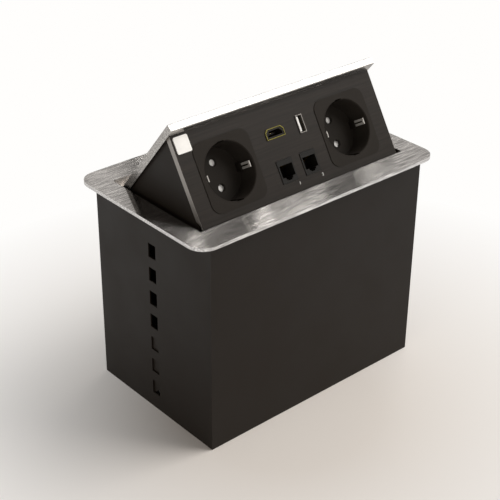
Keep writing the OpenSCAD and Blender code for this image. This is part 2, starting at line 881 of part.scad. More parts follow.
// Thumb screw of a hanging clamp, with a lobed knob
module clamp_screw(side) {
    color([0.12, 0.12, 0.12]) on_side(side)
        translate([clamp_screw_x, 0, clamp_z + clamp_h - screw_below]) {
            cylinder(r = clamp_screw_r, h = screw_below + screw_above);
            difference() {
                translate([0, 0, -knob_h/2]) cylinder(r = knob_r, h = knob_h);
                for (i = [0:knob_lobes - 1]) rotate(i*360/knob_lobes)
                    translate([knob_r + lobe_r/2, 0, -knob_h]) cylinder(r = lobe_r, h = 2*knob_h);
            }
        }
}

module clamp_screw_left() {
    clamp_screw(-1);
}

module clamp_screw_right() {
    clamp_screw(1);
}

// Studs welded to the inside of the walls, for the drive, the damper and the latch bracket
module wall_studs() {
    color([0.75, 0.75, 0.74]) {
        for (side = [-1, 1], p = ear_places) on_side(side) translate([0, p[0], p[1]])
            bar_x(stud_r, inner_w/2 - wall_stud_len, wall_stud_len);
        for (x = bracket_stud_x) translate([x, 0, bracket_stud_z])
            bar_y(stud_r, -inner_d/2, bracket_t + nut_t + stud_end);
    }
}

// Nuts on the wall studs
module wall_nuts() {
    color([0.75, 0.75, 0.74]) {
        for (side = [-1, 1], p = ear_places) on_side(side) translate([0, p[0], p[1]]) difference() {
            translate([inner_w/2 - ear_t - nut_t, 0, 0]) rotate([0, 90, 0])
                cylinder(r = nut_r, h = nut_t, $fn = 6);
            bar_x(stud_r + fit, inner_w/2 - ear_t - nut_t - cut, nut_t + 2*cut);
        }
        for (x = bracket_stud_x) translate([x, 0, bracket_stud_z]) nut_y(-inner_d/2 + bracket_t);
    }
}

// Case of a drive unit: a cup that opens inwards, with two fixing ears on the end wall
module drive_case(side, r) {
    on_side(side) difference() {
        union() {
            translate([0, pinion_y, pinion_z]) bar_x(r, case_x + cap_t, case_len - cap_t);
            hull() for (p = ear_places) translate([0, p[0], p[1]]) bar_x(ear_r, inner_w/2 - ear_t, ear_t);
        }
        translate([0, pinion_y, pinion_z]) bar_x(r - case_wall, case_x, case_len - case_wall);
        for (p = ear_places) translate([0, p[0], p[1]])
            bar_x(stud_r + fit, inner_w/2 - ear_t - cut, ear_t + 2*cut);
    }
}

// Cap that closes a drive case, with the spindle's hole
module drive_cap(side, r) {
    on_side(side) translate([0, pinion_y, pinion_z]) difference() {
        bar_x(r, case_x, cap_t);
        bar_x(spindle_r + fit, case_x - cut, cap_t + 2*cut);
    }
}

module motor_case() {
    color([0.12, 0.12, 0.13]) drive_case(-1, motor_r);
}

module motor_cap() {
    color([0.3, 0.3, 0.31]) drive_cap(-1, motor_r);
}

// Radius of the drive spring's middle line after n steps
function spiral_r(n) = spiral_in + (spiral_out - spiral_in)*n/(spiral_turns*spiral_steps);

// Flat spiral spring wound inside the drive case
module motor_spring() {
    last = spiral_turns*spiral_steps;
    outer = [for (n = [0:last]) let (a = n*360/spiral_steps)
        (spiral_r(n) + spiral_t/2)*[cos(a), sin(a)]];
    inner = [for (n = [last:-1:0]) let (a = n*360/spiral_steps)
        (spiral_r(n) - spiral_t/2)*[cos(a), sin(a)]];
    color([0.45, 0.47, 0.5]) on_side(-1) translate([0, pinion_y, pinion_z])
        slab_x(case_x + cap_t + spring_gap, case_len - cap_t - case_wall - 2*spring_gap)
            polygon(concat(outer, inner));
}

// Pinion and spindle of a drive unit
module drive_pinion(side, tail) {
    on_side(side) translate([0, pinion_y, pinion_z]) {
        slab_x(pinion_x, pinion_face) pinion_outline();
        bar_x(spindle_r, pinion_x + pinion_face, case_x - pinion_x - pinion_face + tail);
    }
}

module motor_pinion() {
    color([0.85, 0.84, 0.8]) drive_pinion(-1, cap_t + spindle_end);
}

module damper_case() {
    color([0.12, 0.12, 0.13]) drive_case(1, damper_r);
}

module damper_cap() {
    color([0.3, 0.3, 0.31]) drive_cap(1, damper_r);
}

// Damper pinion: its spindle carries the paddle disc that shears the damper's grease
module damper_pinion() {
    color([0.85, 0.84, 0.8]) {
        drive_pinion(1, cap_t + rotor_spindle);
        on_side(1) translate([0, pinion_y, pinion_z]) bar_x(damper_r - case_wall - rotor_gap,
            case_x + cap_t + rotor_gap, case_len - cap_t - case_wall - 2*rotor_gap);
    }
}

// Bracket on the front wall with the shelf that carries the latch
module latch_bracket() {
    shelf_d = latch_y + inner_d/2 + latch_body_d/2 + shelf_edge;
    color([0.72, 0.72, 0.7]) difference() {
        union() {
            translate([-bracket_w/2, -inner_d/2, latch_shelf_z - bracket_h])
                cube([bracket_w, bracket_t, bracket_h]);
            translate([-bracket_w/2, -inner_d/2, latch_shelf_z - bracket_t])
                cube([bracket_w, shelf_d, bracket_t]);
            // Two webs that stiffen the shelf
            for (sx = [-1, 1]) {
                slab_x(sx*(bracket_w/2 - bracket_t/2) - bracket_t/2, bracket_t) polygon([
                    [-inner_d/2, latch_shelf_z - bracket_h],
                    [-inner_d/2, latch_shelf_z - bracket_t/2],
                    [-inner_d/2 + shelf_d, latch_shelf_z - bracket_t/2],
                    [-inner_d/2 + shelf_d, latch_shelf_z - 2*bracket_t]
                ]);
            }
        }
        for (x = bracket_stud_x) translate([x, 0, bracket_stud_z])
            bar_y(stud_r + fit, -inner_d/2 - cut, bracket_t + 2*cut);
    }
}

// Push latch body on the shelf, with the bore that guides the plunger
module latch_body() {
    color([0.2, 0.2, 0.2]) translate([0, latch_y, 0]) difference() {
        translate([-latch_body_w/2, -latch_body_d/2, latch_shelf_z])
            cube([latch_body_w, latch_body_d, latch_body_h]);
        translate([0, 0, latch_shelf_z + latch_wall])
            cylinder(r = latch_collar_r + fit, h = latch_body_h - 2*latch_wall);
        translate([0, 0, latch_shelf_z + latch_wall])
            cylinder(r = plunger_r + fit, h = latch_body_h);
    }
}

// Compression spring under the plunger's collar
module latch_spring() {
    pitch = (latch_spring_h - 2*latch_wire_r - 0.2)/latch_coils;
    color([0.6, 0.6, 0.6]) translate([0, latch_y, latch_shelf_z + latch_wall + latch_wire_r + 0.1])
        helix(latch_spring_r, latch_wire_r, pitch, latch_coils);
}

// Latch plunger with its magnet tip, pushed up by the spring
module latch_plunger() {
    color([0.5, 0.5, 0.52]) translate([0, latch_y, 0]) {
        translate([0, 0, plunger_foot_z]) cylinder(r = latch_collar_r, h = latch_collar_t);
        translate([0, 0, plunger_foot_z + latch_collar_t])
            cylinder(r = plunger_r, h = latch_tip_z - plunger_tip_h - plunger_foot_z - latch_collar_t);
        translate([0, 0, latch_tip_z - plunger_tip_h]) cylinder(r = plunger_r + 1, h = plunger_tip_h);
        // Guide stub inside the spring
        translate([0, 0, plunger_foot_z - plunger_stub]) cylinder(r = stub_r, h = plunger_stub);
    }
}

// Lid plate, level in the flap's frame, with pockets for the side plates' hinge knuckles
module lid_plate() {
    color([0.68, 0.67, 0.65]) open_flap() difference() {
        slab_x(-lid_w/2, lid_w) polygon([
            [lid_front, -lid_under + lid_edge],
            [lid_front + lid_edge, -lid_under],
            [lid_tail, -lid_under],
            [lid_tail, pivot_drop],
            [lid_front + lid_edge, pivot_drop],
            [lid_front, pivot_drop - lid_edge]
        ]);
        for (side = [-1, 1]) on_side(side) {
            translate([side_in - play, -pocket_side, -lid_under - cut])
                cube([lid_w/2, 2*pocket_side, lid_under + cut]);
            bar_x(pocket_side, side_in - play, lid_w/2);
        }
        // Blind holes of the screws
        lid_screws_at() cylinder(r = frame_screw_r, h = screw_grip);
    }
}

// Socket panel with its cut-outs, and its lower back corners cut off
module socket_panel() {
    color([0.24, 0.22, 0.21]) difference() {
        on_panel() difference() {
            translate([-panel_w/2, 0, -panel_len]) cube([panel_w, panel_t, panel_len + panel_t]);
            // Socket cut-outs
            for (side = [-1, 1]) translate([side*socket_spacing/2, 0, -socket_drop])
                block_y(neck_side + 2*play, neck_side + 2*play, -cut, panel_t + 2*cut);
            // Port cut-outs
            translate([hdmi_x, 0, -hdmi_drop]) hdmi_slab(shell_t + play/2, -cut, panel_t + 2*cut);
            translate([usb_x, 0, -usb_drop])
                block_y(usb_w + 2*shell_t + play, usb_h + 2*shell_t + play, -cut, panel_t + 2*cut);
            // The end returns stop short of the panel's lower edge
            for (side = [-1, 1]) on_side(side) slab_x(side_out - side_t, side_t + side_inset + cut) polygon([
                [panel_skin, -panel_len - cut],
                [panel_t + cut, -panel_len - cut],
                [panel_t + cut, -panel_len + return_gap + panel_t],
                [panel_skin, -panel_len + return_gap]
            ]);
        }
        at_jacks() block_y(jack_w + play, jack_h + play, -cut, panel_t + 2*cut);
        // Blind holes of the screws
        panel_screws_at() bar_y(frame_screw_r, -screw_grip, screw_grip + cut);
        // The part that would stand up into the lid
        open_flap() translate([-lid_w, -lid_w, -lid_under]) cube([2*lid_w, 2*lid_w, lid_w]);
    }
}

// Point (y, z) of the panel's frame in the flap's frame
function panel_point(y, z) = [
    panel_top_y + y*cos(panel_lean) - z*sin(panel_lean),
    -lid_under + y*sin(panel_lean) + z*cos(panel_lean)
];

// Point (y, z) of the open place, measured from the pivot, in the flap's frame
function from_open(y, z) = [
    y*cos(open_angle) - z*sin(open_angle),
    y*sin(open_angle) + z*cos(open_angle)
];

// Outline of a side plate in the flap's frame
module side_outline() {
    difference() {
        union() {
            polygon([
                [head_y, -lid_under],
                [foot_y, foot_z],
                from_open(-stop_far - ear_brace, stop_top + ear_brace_rise),
                from_open(-stop_far, stop_foot),
                from_open(-stop_far + stop_len, stop_foot),
                from_open(-stop_far/2, stop_top),
                [-sector_r/2, -web_low],
                [0, -web_low],
                [lid_tail, -tail_low],
                [lid_tail, -lid_under]
            ]);
            circle(r = knuckle_r);
            sector_outline();
        }
        circle(r = pin_d/2);
    }
}

// Side plate of the flap, with a toothed edge and the ear that stops under the collar
module side_plate(side) {
    color([0.16, 0.15, 0.14]) {
        open_flap() on_side(side) difference() {
            union() {
                slab_x(side_in, side_t) side_outline();
                stop_ear();
                // Flanges against the lid and the panel
                translate([side_in - flange_w, flange_front, -lid_under - flange_t])
                    cube([flange_w, flange_back - flange_front, flange_t]);
                slab_x(side_in - flange_w, flange_w) polygon([
                    panel_point(panel_t, -flange_top), panel_point(panel_t, -flange_low),
                    panel_point(panel_t + flange_t, -flange_low), panel_point(panel_t + flange_t, -flange_top)
                ]);
            }
            for (y = lid_screw_y) translate([flange_x, y, -lid_under - flange_t - cut])
                cylinder(r = frame_screw_r + fit, h = flange_t + 2*cut);
            for (v = panel_screw_v) translate([flange_x, 0, 0]) place_on_panel(v)
                bar_y(frame_screw_r + fit, -cut, flange_t + 2*cut);
        }
    }
}

// Places a child at distance v down the panel's back face, in the flap's frame
module place_on_panel(v) {
    translate([0, panel_top_y, -lid_under]) rotate([panel_lean, 0, 0]) translate([0, panel_t, -v]) children();
}

// Stop ear, square to the side plate, in the flap's frame: level when the flap is open
module stop_ear() {
    rotate([open_angle, 0, 0]) translate([side_in, -stop_far, stop_foot])
        cube([stop_out - side_in, stop_len, stop_tab_t]);
}

module side_plate_left() {
    side_plate(-1);
}

module side_plate_right() {
    side_plate(1);
}

// Two rubber pads on the stop ears
module stop_pads() {
    color([0.1, 0.1, 0.1]) translate([0, pivot_y, pivot_z]) for (side = [-1, 1]) on_side(side)
        translate([side_out + pad_edge, -stop_far + pad_edge, stop_top - stop_pad_t])
            cube([stop_out - side_out - pad_edge, stop_len - 2*pad_edge, stop_pad_t]);
}

// Hinge pin, pressed in the side plate and turning in its bush
module hinge_pin(side) {
    color([0.78, 0.78, 0.78]) open_flap() on_side(side) bar_x(pin_d/2, side_in, hinge_pin_out - side_in);
}

module hinge_pin_left() {
    hinge_pin(-1);
}

module hinge_pin_right() {
    hinge_pin(1);
}

// Screw that points up +Z from the seat at z = 0, through a sheet of thickness t
module frame_screw(t) {
    difference() {
        union() {
            translate([0, 0, -t]) cylinder(r = frame_screw_r, h = t + screw_grip - screw_end);
            translate([0, 0, -t - screw_head_h]) cylinder(r = screw_head_r, h = screw_head_h);
        }
        for (a = [0, 90]) rotate(a) translate([-slot_len/2, -slot_w/2, -t - screw_head_h - slot_deep])
            cube([slot_len, slot_w, 2*slot_deep]);
    }
}

// Places a child at every screw of the lid, with the seat on the lid's underside
module lid_screws_at() {
    for (side = [-1, 1], y = lid_screw_y) translate([side*flange_x, y, -lid_under]) children();
    for (x = cover_screw_x) translate([x, cover_screw_y, -lid_under]) children();
}

// Places a child at every screw of the panel, with the seat on the panel's back and +Y outwards
module panel_screws_at() {
    open_flap() {
        for (side = [-1, 1], v = panel_screw_v) translate([side*flange_x, 0, 0]) place_on_panel(v) children();
        for (x = cover_screw_x) translate([x, 0, 0]) place_on_panel(cover_screw_v) children();
        for (x = striker_screw_x) translate([x, 0, 0]) place_on_panel(cover_screw_v) children();
    }
}

// Screws that hold the side plates to the lid and the panel
module frame_screws() {
    color([0.75, 0.75, 0.74]) open_flap() for (side = [-1, 1]) {
        for (y = lid_screw_y) translate([side*flange_x, y, -lid_under]) frame_screw(flange_t);
        for (v = panel_screw_v) translate([side*flange_x, 0, 0]) place_on_panel(v)
            rotate([90, 0, 0]) frame_screw(flange_t);
    }
}

// Unit vector to the left of the step from a to b
function left_of(a, b) = let (d = (b - a)/norm(b - a)) [-d[1], d[0]];

// Point i of a folded sheet's inner side: the path moved left by t, with mitred folds
function inner_point(path, i, t) =
    let (last = len(path) - 1)
    let (n1 = left_of(path[max(i - 1, 0)], path[max(i, 1)]))
    let (n2 = left_of(path[min(i, last - 1)], path[min(i + 1, last)]))
    path[i] + t*(n1 + n2)/(1 + n1*n2);

// Outline of a folded sheet whose outer side follows the path
function folded(path, t) = concat(path, [for (i = [len(path) - 1:-1:0]) inner_point(path, i, t)]);

// Folded cover behind the sockets, from the panel's foot to the lid
module wiring_cover() {
    path = [
        panel_point(panel_t, -panel_len + cover_edge + cover_lip),
        panel_point(panel_t, -panel_len + cover_edge),
        cover_knee,
        [cover_y, -lid_under],
        [cover_y - cover_lip, -lid_under]
    ];
    color([0.2, 0.2, 0.2]) open_flap() difference() {
        slab_x(-side_in + play, 2*side_in - 2*play) polygon(folded(path, cover_t));
        for (x = cover_screw_x) {
            translate([x, cover_screw_y, -lid_under - cover_t - cut])
                cylinder(r = frame_screw_r + fit, h = cover_t + 2*cut);
            translate([x, 0, 0]) place_on_panel(cover_screw_v)
                bar_y(frame_screw_r + fit, -cut, cover_t + 2*cut);
        }
        // Gap for the striker's leg
        translate([-striker_w/2 - play, foot_y - 2*cover_lip, foot_z - cover_lip])
            cube([striker_w + 2*play, 2*cover_lip + striker_leg_y - foot_y + 2*striker_t, 3*cover_lip]);
    }
}

// Screws that hold the wiring cover to the lid and the panel
module cover_screws() {
    color([0.75, 0.75, 0.74]) open_flap() for (x = cover_screw_x) {
        translate([x, cover_screw_y, -lid_under]) frame_screw(cover_t);
        translate([x, 0, 0]) place_on_panel(cover_screw_v) rotate([90, 0, 0]) frame_screw(cover_t);
    }
}

// Steel angle behind the panel's foot: the latch's magnet holds its level leg
module striker() {
    path = [
        panel_point(panel_t, -panel_len + cover_edge + cover_lip),
        [striker_leg_y, striker_z],
        [striker_leg_y + striker_foot, striker_z]
    ];
    color([0.7, 0.7, 0.72]) open_flap() difference() {
        slab_x(-striker_w/2, striker_w) polygon(folded(path, striker_t));
        for (x = striker_screw_x) translate([x, 0, 0]) place_on_panel(cover_screw_v)
            bar_y(frame_screw_r + fit, -cut, striker_t + 2*cut);
    }
}

// Two screws of the striker
module striker_screws() {
    color([0.75, 0.75, 0.74]) open_flap() for (x = striker_screw_x) translate([x, 0, 0])
        place_on_panel(cover_screw_v) rotate([90, 0, 0]) frame_screw(striker_t);
}

// Plain white name badge, left bare
module name_badge() {
    color([0.95, 0.95, 0.94]) on_panel() translate([badge_x, 0, -badge_drop])
        face_slab(badge_size, badge_size, badge_corner, -badge_t, badge_t);
}

// Socket insert: the square face with the round recess, its floor and the shutter's post
module socket_insert() {
    difference() {
        union() {
            rotate([90, 0, 0]) linear_extrude(face_proud) round_corner_plate(face_w, face_h, face_corner);
            block_y(neck_side, neck_side, 0, panel_t + neck_behind);
            bar_y(cup_r, 0, recess_floor + floor_t);
            bar_y(post_r, recess_floor, floor_t + shutter_t + 2*play);
        }
        // Recess, a little wider at its mouth
        cone_y(mouth_r, recess_d/2, -face_proud - cut, recess_depth + cut);
        cone_y(mouth_r + mouth_bevel + cut, mouth_r - cut, -face_proud - cut, mouth_bevel + 2*cut);
        // Keyways on the line of the pins
        block_y(keyway_w, 2*keyway_r, -face_proud - cut, recess_depth + cut);
        // Pin holes with their lead-in
        for (s = [-1, 1]) translate([0, 0, s*pin_spacing/2]) {
            bar_y(pin_hole_d/2, recess_floor - cut, floor_t + 2*cut);
            cone_y(pin_hole_d/2 + pin_lead + cut, pin_hole_d/2 - cut, recess_floor - cut, pin_lead + 2*cut);
        }
        // Slots of the earth clips
        for (s = [-1, 1]) translate([s*(clip_x - clip_t/2), 0, 0])
            block_y(clip_t + play, clip_w + play, recess_floor - cut, floor_t + 2*cut);
    }
}

module socket_left() {
    color([0.13, 0.13, 0.12]) at_socket(-1) socket_insert();
}

module socket_right() {
    color([0.13, 0.13, 0.12]) at_socket(1) socket_insert();
}

// Shutter disc: it turns to bring its two holes behind the pin holes
module shutter() {
    difference() {
        bar_y(shutter_r, shutter_y, shutter_t);
        bar_y(post_r + fit, shutter_y - cut, shutter_t + 2*cut);
        for (s = [0, 180]) rotate([0, shutter_angle + s, 0]) translate([0, 0, pin_spacing/2])
            bar_y(shutter_hole_r, shutter_y - cut, shutter_t + 2*cut);
    }
}

module shutter_left() {
    color([0.82, 0.8, 0.78]) at_socket(-1) shutter();
}

module shutter_right() {
    color([0.82, 0.8, 0.78]) at_socket(1) shutter();
}

// Two slotted contact tubes of a socket
module contacts() {
    tube_len = socket_depth - tube_back - tube_y;
    for (s = [-1, 1]) translate([0, 0, s*pin_spacing/2]) difference() {
        bar_y(tube_r, tube_y, tube_len);
        bar_y(tube_hole_r, tube_y - cut, tube_len - tube_blind + cut);
        block_y(tube_slot_w, 2*tube_r + 2*cut, tube_y - cut, tube_len - tube_blind - tube_slot_short + cut);
    }
}

module contacts_left() {
    color([0.85, 0.7, 0.35]) at_socket(-1) contacts();
}

module contacts_right() {
    color([0.85, 0.7, 0.35]) at_socket(1) contacts();
}

// Earth clip: a bent strap with a slotted spring leg on each side of the recess
module earth_clip() {
    for (s = [-1, 1]) translate([s*(clip_x - clip_t/2), 0, 0]) difference() {
        block_y(clip_t, clip_w, clip_mouth, strap_y + clip_t - clip_mouth);
        block_y(clip_t + 2*cut, clip_slot, clip_mouth + clip_band,
            recess_floor - clip_mouth - 2*clip_band);
    }
    block_y(2*clip_x, clip_w, strap_y, clip_t);
}

module earth_clip_left() {
    color([0.78, 0.78, 0.76]) at_socket(-1) earth_clip();
}

module earth_clip_right() {
    color([0.78, 0.78, 0.76]) at_socket(1) earth_clip();
}

// Rear housing of a socket: it holds the contact tubes and the strap
module socket_rear() {
    difference() {
        bar_y(cup_r, rear_y, socket_depth - rear_y);
        // Bores of the contact tubes
        for (s = [-1, 1]) translate([0, 0, s*pin_spacing/2]) {
            bar_y(pin_hole_d/2, rear_y - cut, tube_y - rear_y + cut);
            bar_y(tube_r + fit, tube_y - tube_play, socket_depth - tube_back - tube_y + 2*tube_play);
        }
        // Groove of the earth strap
        block_y(2*clip_x + 2*strap_play, clip_w + 2*strap_play, rear_y - cut, clip_t + 2*strap_play + cut);
        // Seat of the post's end
        bar_y(post_r + fit, rear_y - cut, post_seat);
    }
}

module socket_rear_left() {
    color([0.1, 0.1, 0.1]) at_socket(-1) socket_rear();
}

module socket_rear_right() {
    color([0.1, 0.1, 0.1]) at_socket(1) socket_rear();
}

// Outline of the display port: a flat hexagon with its upper corners cut off, grown by g
module hdmi_outline(g) {
    w = hdmi_w/2 + g;
    h = hdmi_h/2 + g;
    knee = g;
    polygon([[-w, -h], [w, -h], [w, knee], [w - hdmi_slope, h], [-w + hdmi_slope, h], [-w, knee]]);
}

// Slab of the display port's outline grown by g, from y0 inwards
module hdmi_slab(g, y0, len) {
    translate([0, y0 + len, 0]) rotate([90, 0, 0]) linear_extrude(len) hdmi_outline(g);
}

// Display port coupler: a gold plated shell with a wider mouth, on a body behind the panel
module hdmi_coupler() {
    color([0.8, 0.65, 0.25]) on_panel() translate([hdmi_x, 0, -hdmi_drop]) difference() {
        union() {
            hdmi_slab(shell_t + port_flare, -port_proud, port_proud);
            hdmi_slab(shell_t, 0, body_y);
            block_y(hdmi_body_w, hdmi_body_h, body_y, hdmi_depth - body_y);
        }
        hdmi_slab(0, -port_proud - cut, hdmi_hole_depth + port_proud + cut);
        hdmi_slab(port_flare, -port_proud - cut, port_mouth_depth + cut);
    }
}

// USB charger: the outlet's shell at the front of the charger's block
module usb_charger() {
    color([0.75, 0.75, 0.75]) on_panel() translate([usb_x, 0, -usb_drop]) difference() {
        union() {
            block_y(usb_w + 2*shell_t, usb_h + 2*shell_t, -port_proud, port_proud + body_y);
            block_y(usb_body_w, usb_body_h, body_y, usb_depth - body_y);
        }
        block_y(usb_w, usb_h, -port_proud - cut, usb_hole_depth + port_proud + cut);
    }
}

// Plastic tongues inside the display port and the USB outlet
module port_tongues() {
    color([0.1, 0.1, 0.1]) on_panel() {
        translate([hdmi_x, 0, -hdmi_drop])
            block_y(hdmi_w - 2*hdmi_slope, tongue_t, hdmi_hole_depth - tongue_len, tongue_len);
        translate([usb_x + usb_w/4, 0, -usb_drop])
            block_y(tongue_t, usb_h - 2*tongue_gap, usb_hole_depth - tongue_len, tongue_len);
    }
}

// Two network jacks
module network_jacks() {
    hole_z = jack_h/2 - jack_band - jack_hole_h/2;
    color([0.12, 0.12, 0.11]) at_jacks() difference() {
        block_y(jack_w, jack_h, -jack_proud, jack_depth + jack_proud);
        translate([0, 0, hole_z]) block_y(jack_hole_w, jack_hole_h, -jack_proud - cut, jack_hole_depth + cut);
        // Stepped notch for the plug's latch
        for (n = jack_notches) translate([0, 0, hole_z - jack_hole_h/2 - n[2]])
            block_y(n[0], n[1], -jack_proud - cut, jack_hole_depth + cut - n[3]);
    }
}

// Gilt contact wires in the roof of each network jack
module jack_contacts() {
    top = jack_h/2 - jack_band;
    back = jack_hole_depth - jack_proud;
    color([0.8, 0.62, 0.25]) at_jacks() for (i = [0:contact_count - 1]) {
        x = (i - (contact_count - 1)/2)*contact_pitch;
        slab_x(x - contact_w/2, contact_w) polygon([
            [contact_y, top], [contact_y + contact_t, top],
            [back, top - contact_dip], [back, top - contact_dip - contact_t]
        ]);
    }
}

housing();
base_plate();
base_screws();
outlet_grommet();
mains_inlet();
inlet_pins();
inlet_screws();
inlet_nuts();
earth_stud();
earth_nuts();
bezel();
bezel_studs();
bezel_nuts();
hinge_bush_left();
hinge_bush_right();
clamp_left();
clamp_right();
clamp_screw_left();
clamp_screw_right();
wall_studs();
wall_nuts();
motor_case();
motor_cap();
motor_spring();
motor_pinion();
damper_case();
damper_cap();
damper_pinion();
latch_bracket();
latch_body();
latch_spring();
latch_plunger();
lid_plate();
socket_panel();
side_plate_left();
side_plate_right();
stop_pads();
hinge_pin_left();
hinge_pin_right();
frame_screws();
wiring_cover();
cover_screws();
striker();
striker_screws();
name_badge();
socket_left();
socket_right();
shutter_left();
shutter_right();
contacts_left();
contacts_right();
earth_clip_left();
earth_clip_right();
socket_rear_left();
socket_rear_right();
hdmi_coupler();
usb_charger();
network_jacks();
jack_contacts();
port_tongues();
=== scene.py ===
import json
import math

import bmesh
import bpy
from mathutils import Matrix, Vector


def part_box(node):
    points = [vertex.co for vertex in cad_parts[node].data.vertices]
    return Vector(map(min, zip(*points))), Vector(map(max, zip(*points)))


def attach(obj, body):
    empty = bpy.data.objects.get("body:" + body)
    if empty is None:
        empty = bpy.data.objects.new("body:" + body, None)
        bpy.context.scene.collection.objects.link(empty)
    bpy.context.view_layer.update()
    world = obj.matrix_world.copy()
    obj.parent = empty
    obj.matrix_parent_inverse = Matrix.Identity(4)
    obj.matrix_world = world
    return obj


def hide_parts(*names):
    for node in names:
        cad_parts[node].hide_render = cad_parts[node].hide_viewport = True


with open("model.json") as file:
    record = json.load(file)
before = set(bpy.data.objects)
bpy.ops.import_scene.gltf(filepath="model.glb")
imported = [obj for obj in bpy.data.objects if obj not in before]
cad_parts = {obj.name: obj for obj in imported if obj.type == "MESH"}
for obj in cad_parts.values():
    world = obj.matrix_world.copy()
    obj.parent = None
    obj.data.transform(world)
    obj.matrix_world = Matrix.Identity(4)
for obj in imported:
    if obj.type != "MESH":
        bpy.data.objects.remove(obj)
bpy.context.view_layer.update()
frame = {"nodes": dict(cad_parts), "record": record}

MM = 0.001
nodes = frame["nodes"]

# Camera, fitted to the photograph's 500 x 500 frame
PHOTO_PX = 500
FOCAL_PX = 1259.72
SENSOR_MM = 36.0
AZIMUTH, ELEVATION, ROLL = -41.302, 29.906, 0.552
AIM_RIGHT, AIM_UP, DISTANCE = -6.68*MM, 88.36*MM, 1028.5*MM
CLIP_NEAR, CLIP_FAR = 0.05, 30


def add_camera():
    """The camera at the photograph's angle."""
    a, e, r = (math.radians(v) for v in (AZIMUTH, ELEVATION, ROLL))
    back = Vector((math.sin(a)*math.cos(e), -math.cos(a)*math.cos(e), math.sin(e)))
    level = Vector((math.cos(a), math.sin(a), 0))
    above = back.cross(level)
    right = level*math.cos(r) + above*math.sin(r)
    up = above*math.cos(r) - level*math.sin(r)
    data = bpy.data.cameras.new("photo_camera")
    data.sensor_width = SENSOR_MM
    data.lens = SENSOR_MM*FOCAL_PX/PHOTO_PX
    data.clip_start, data.clip_end = CLIP_NEAR, CLIP_FAR
    camera = bpy.data.objects.new("photo_camera", data)
    place = back*DISTANCE + right*AIM_RIGHT + up*AIM_UP
    camera.matrix_world = Matrix.Translation(place) @ Matrix((right, up, back)).transposed().to_4x4()
    bpy.context.scene.collection.objects.link(camera)
    bpy.context.scene.camera = camera


# Materials


class Shader:
    """A node material under construction: one Principled shader and the textures that feed it."""

    def __init__(self, name, color, roughness=0.5, metallic=0.0, **sockets):
        self.material = bpy.data.materials.new(name)
        self.material.use_nodes = True
        self.tree = self.material.node_tree
        self.bsdf = self.tree.nodes["Principled BSDF"]
        self.set("Base Color", (*color, 1))
        self.set("Roughness", roughness)
        self.set("Metallic", metallic)
        for key, value in sockets.items():
            self.set(key.replace("_", " "), value)
        self.color = color
        self.coords = self.tree.nodes.new("ShaderNodeTexCoord").outputs["Object"]
        self.height = None

    def set(self, socket, value):
        self.bsdf.inputs[socket].default_value = value

    def node(self, kind, **settings):
        made = self.tree.nodes.new("ShaderNode" + kind)
        for key, value in settings.items():
            setattr(made, key, value)
        return made

    def link(self, source, target):
        self.tree.links.new(source, target)

    def noise(self, scale, detail=3.0, stretch=(1, 1, 1), rough=0.55):
        """Noise in object space with scale cells per metre, drawn out by stretch."""
        mapping = self.node("Mapping")
        mapping.inputs["Scale"].default_value = tuple(scale/s for s in stretch)
        self.link(self.coords, mapping.inputs["Vector"])
        noise = self.node("TexNoise")
        noise.inputs["Scale"].default_value = 1.0
        noise.inputs["Detail"].default_value = detail
        noise.inputs["Roughness"].default_value = rough
        self.link(mapping.outputs["Vector"], noise.inputs["Vector"])
        return noise.outputs["Fac"]

    def ranged(self, value, low, high, near=0.3, far=0.7):
        """Maps value from near..far to low..high."""
        made = self.node("MapRange")
        made.inputs["From Min"].default_value = near
        made.inputs["From Max"].default_value = far
        made.inputs["To Min"].default_value = low
        made.inputs["To Max"].default_value = high
        self.link(value, made.inputs["Value"])
        return made.outputs["Result"]

    def vary_color(self, value, dark, light):
        """The colour runs from dark to light times its own, by value."""
        mix = self.node("Mix", data_type="RGBA")
        mix.inputs["A"].default_value = (*(c*dark for c in self.color), 1)
        mix.inputs["B"].default_value = (*(min(1, c*light) for c in self.color), 1)
        self.link(value, mix.inputs["Factor"])
        self.link(mix.outputs["Result"], self.bsdf.inputs["Base Color"])

    def vary_roughness(self, value, low, high):
        self.link(self.ranged(value, low, high), self.bsdf.inputs["Roughness"])

    def bump(self, value, strength, depth_mm):
        """Adds a bump layer over those that are there."""
        made = self.node("Bump")
        made.inputs["Strength"].default_value = strength
        made.inputs["Distance"].default_value = depth_mm*MM
        self.link(value, made.inputs["Height"])
        if self.height is not None:
            self.link(self.height, made.inputs["Normal"])
        self.height = made.outputs["Normal"]
        self.link(self.height, self.bsdf.inputs["Normal"])


# Brushed steel: cells of its noises per metre, their length along the brushing over their width, and of the
# stretched gloss the share, the stretch and the roughness from the smoothest to the coarsest scratch
FINE_CELLS, FINE_STRETCH = 2600, (24, 1, 1)
GRAIN_CELLS, GRAIN_STRETCH = 900, (13, 1, 1)
GLOSS_SHARE, GLOSS_STRETCH, GLOSS_ROUGHNESS = 0.88, 0.9, (0.095, 0.115)


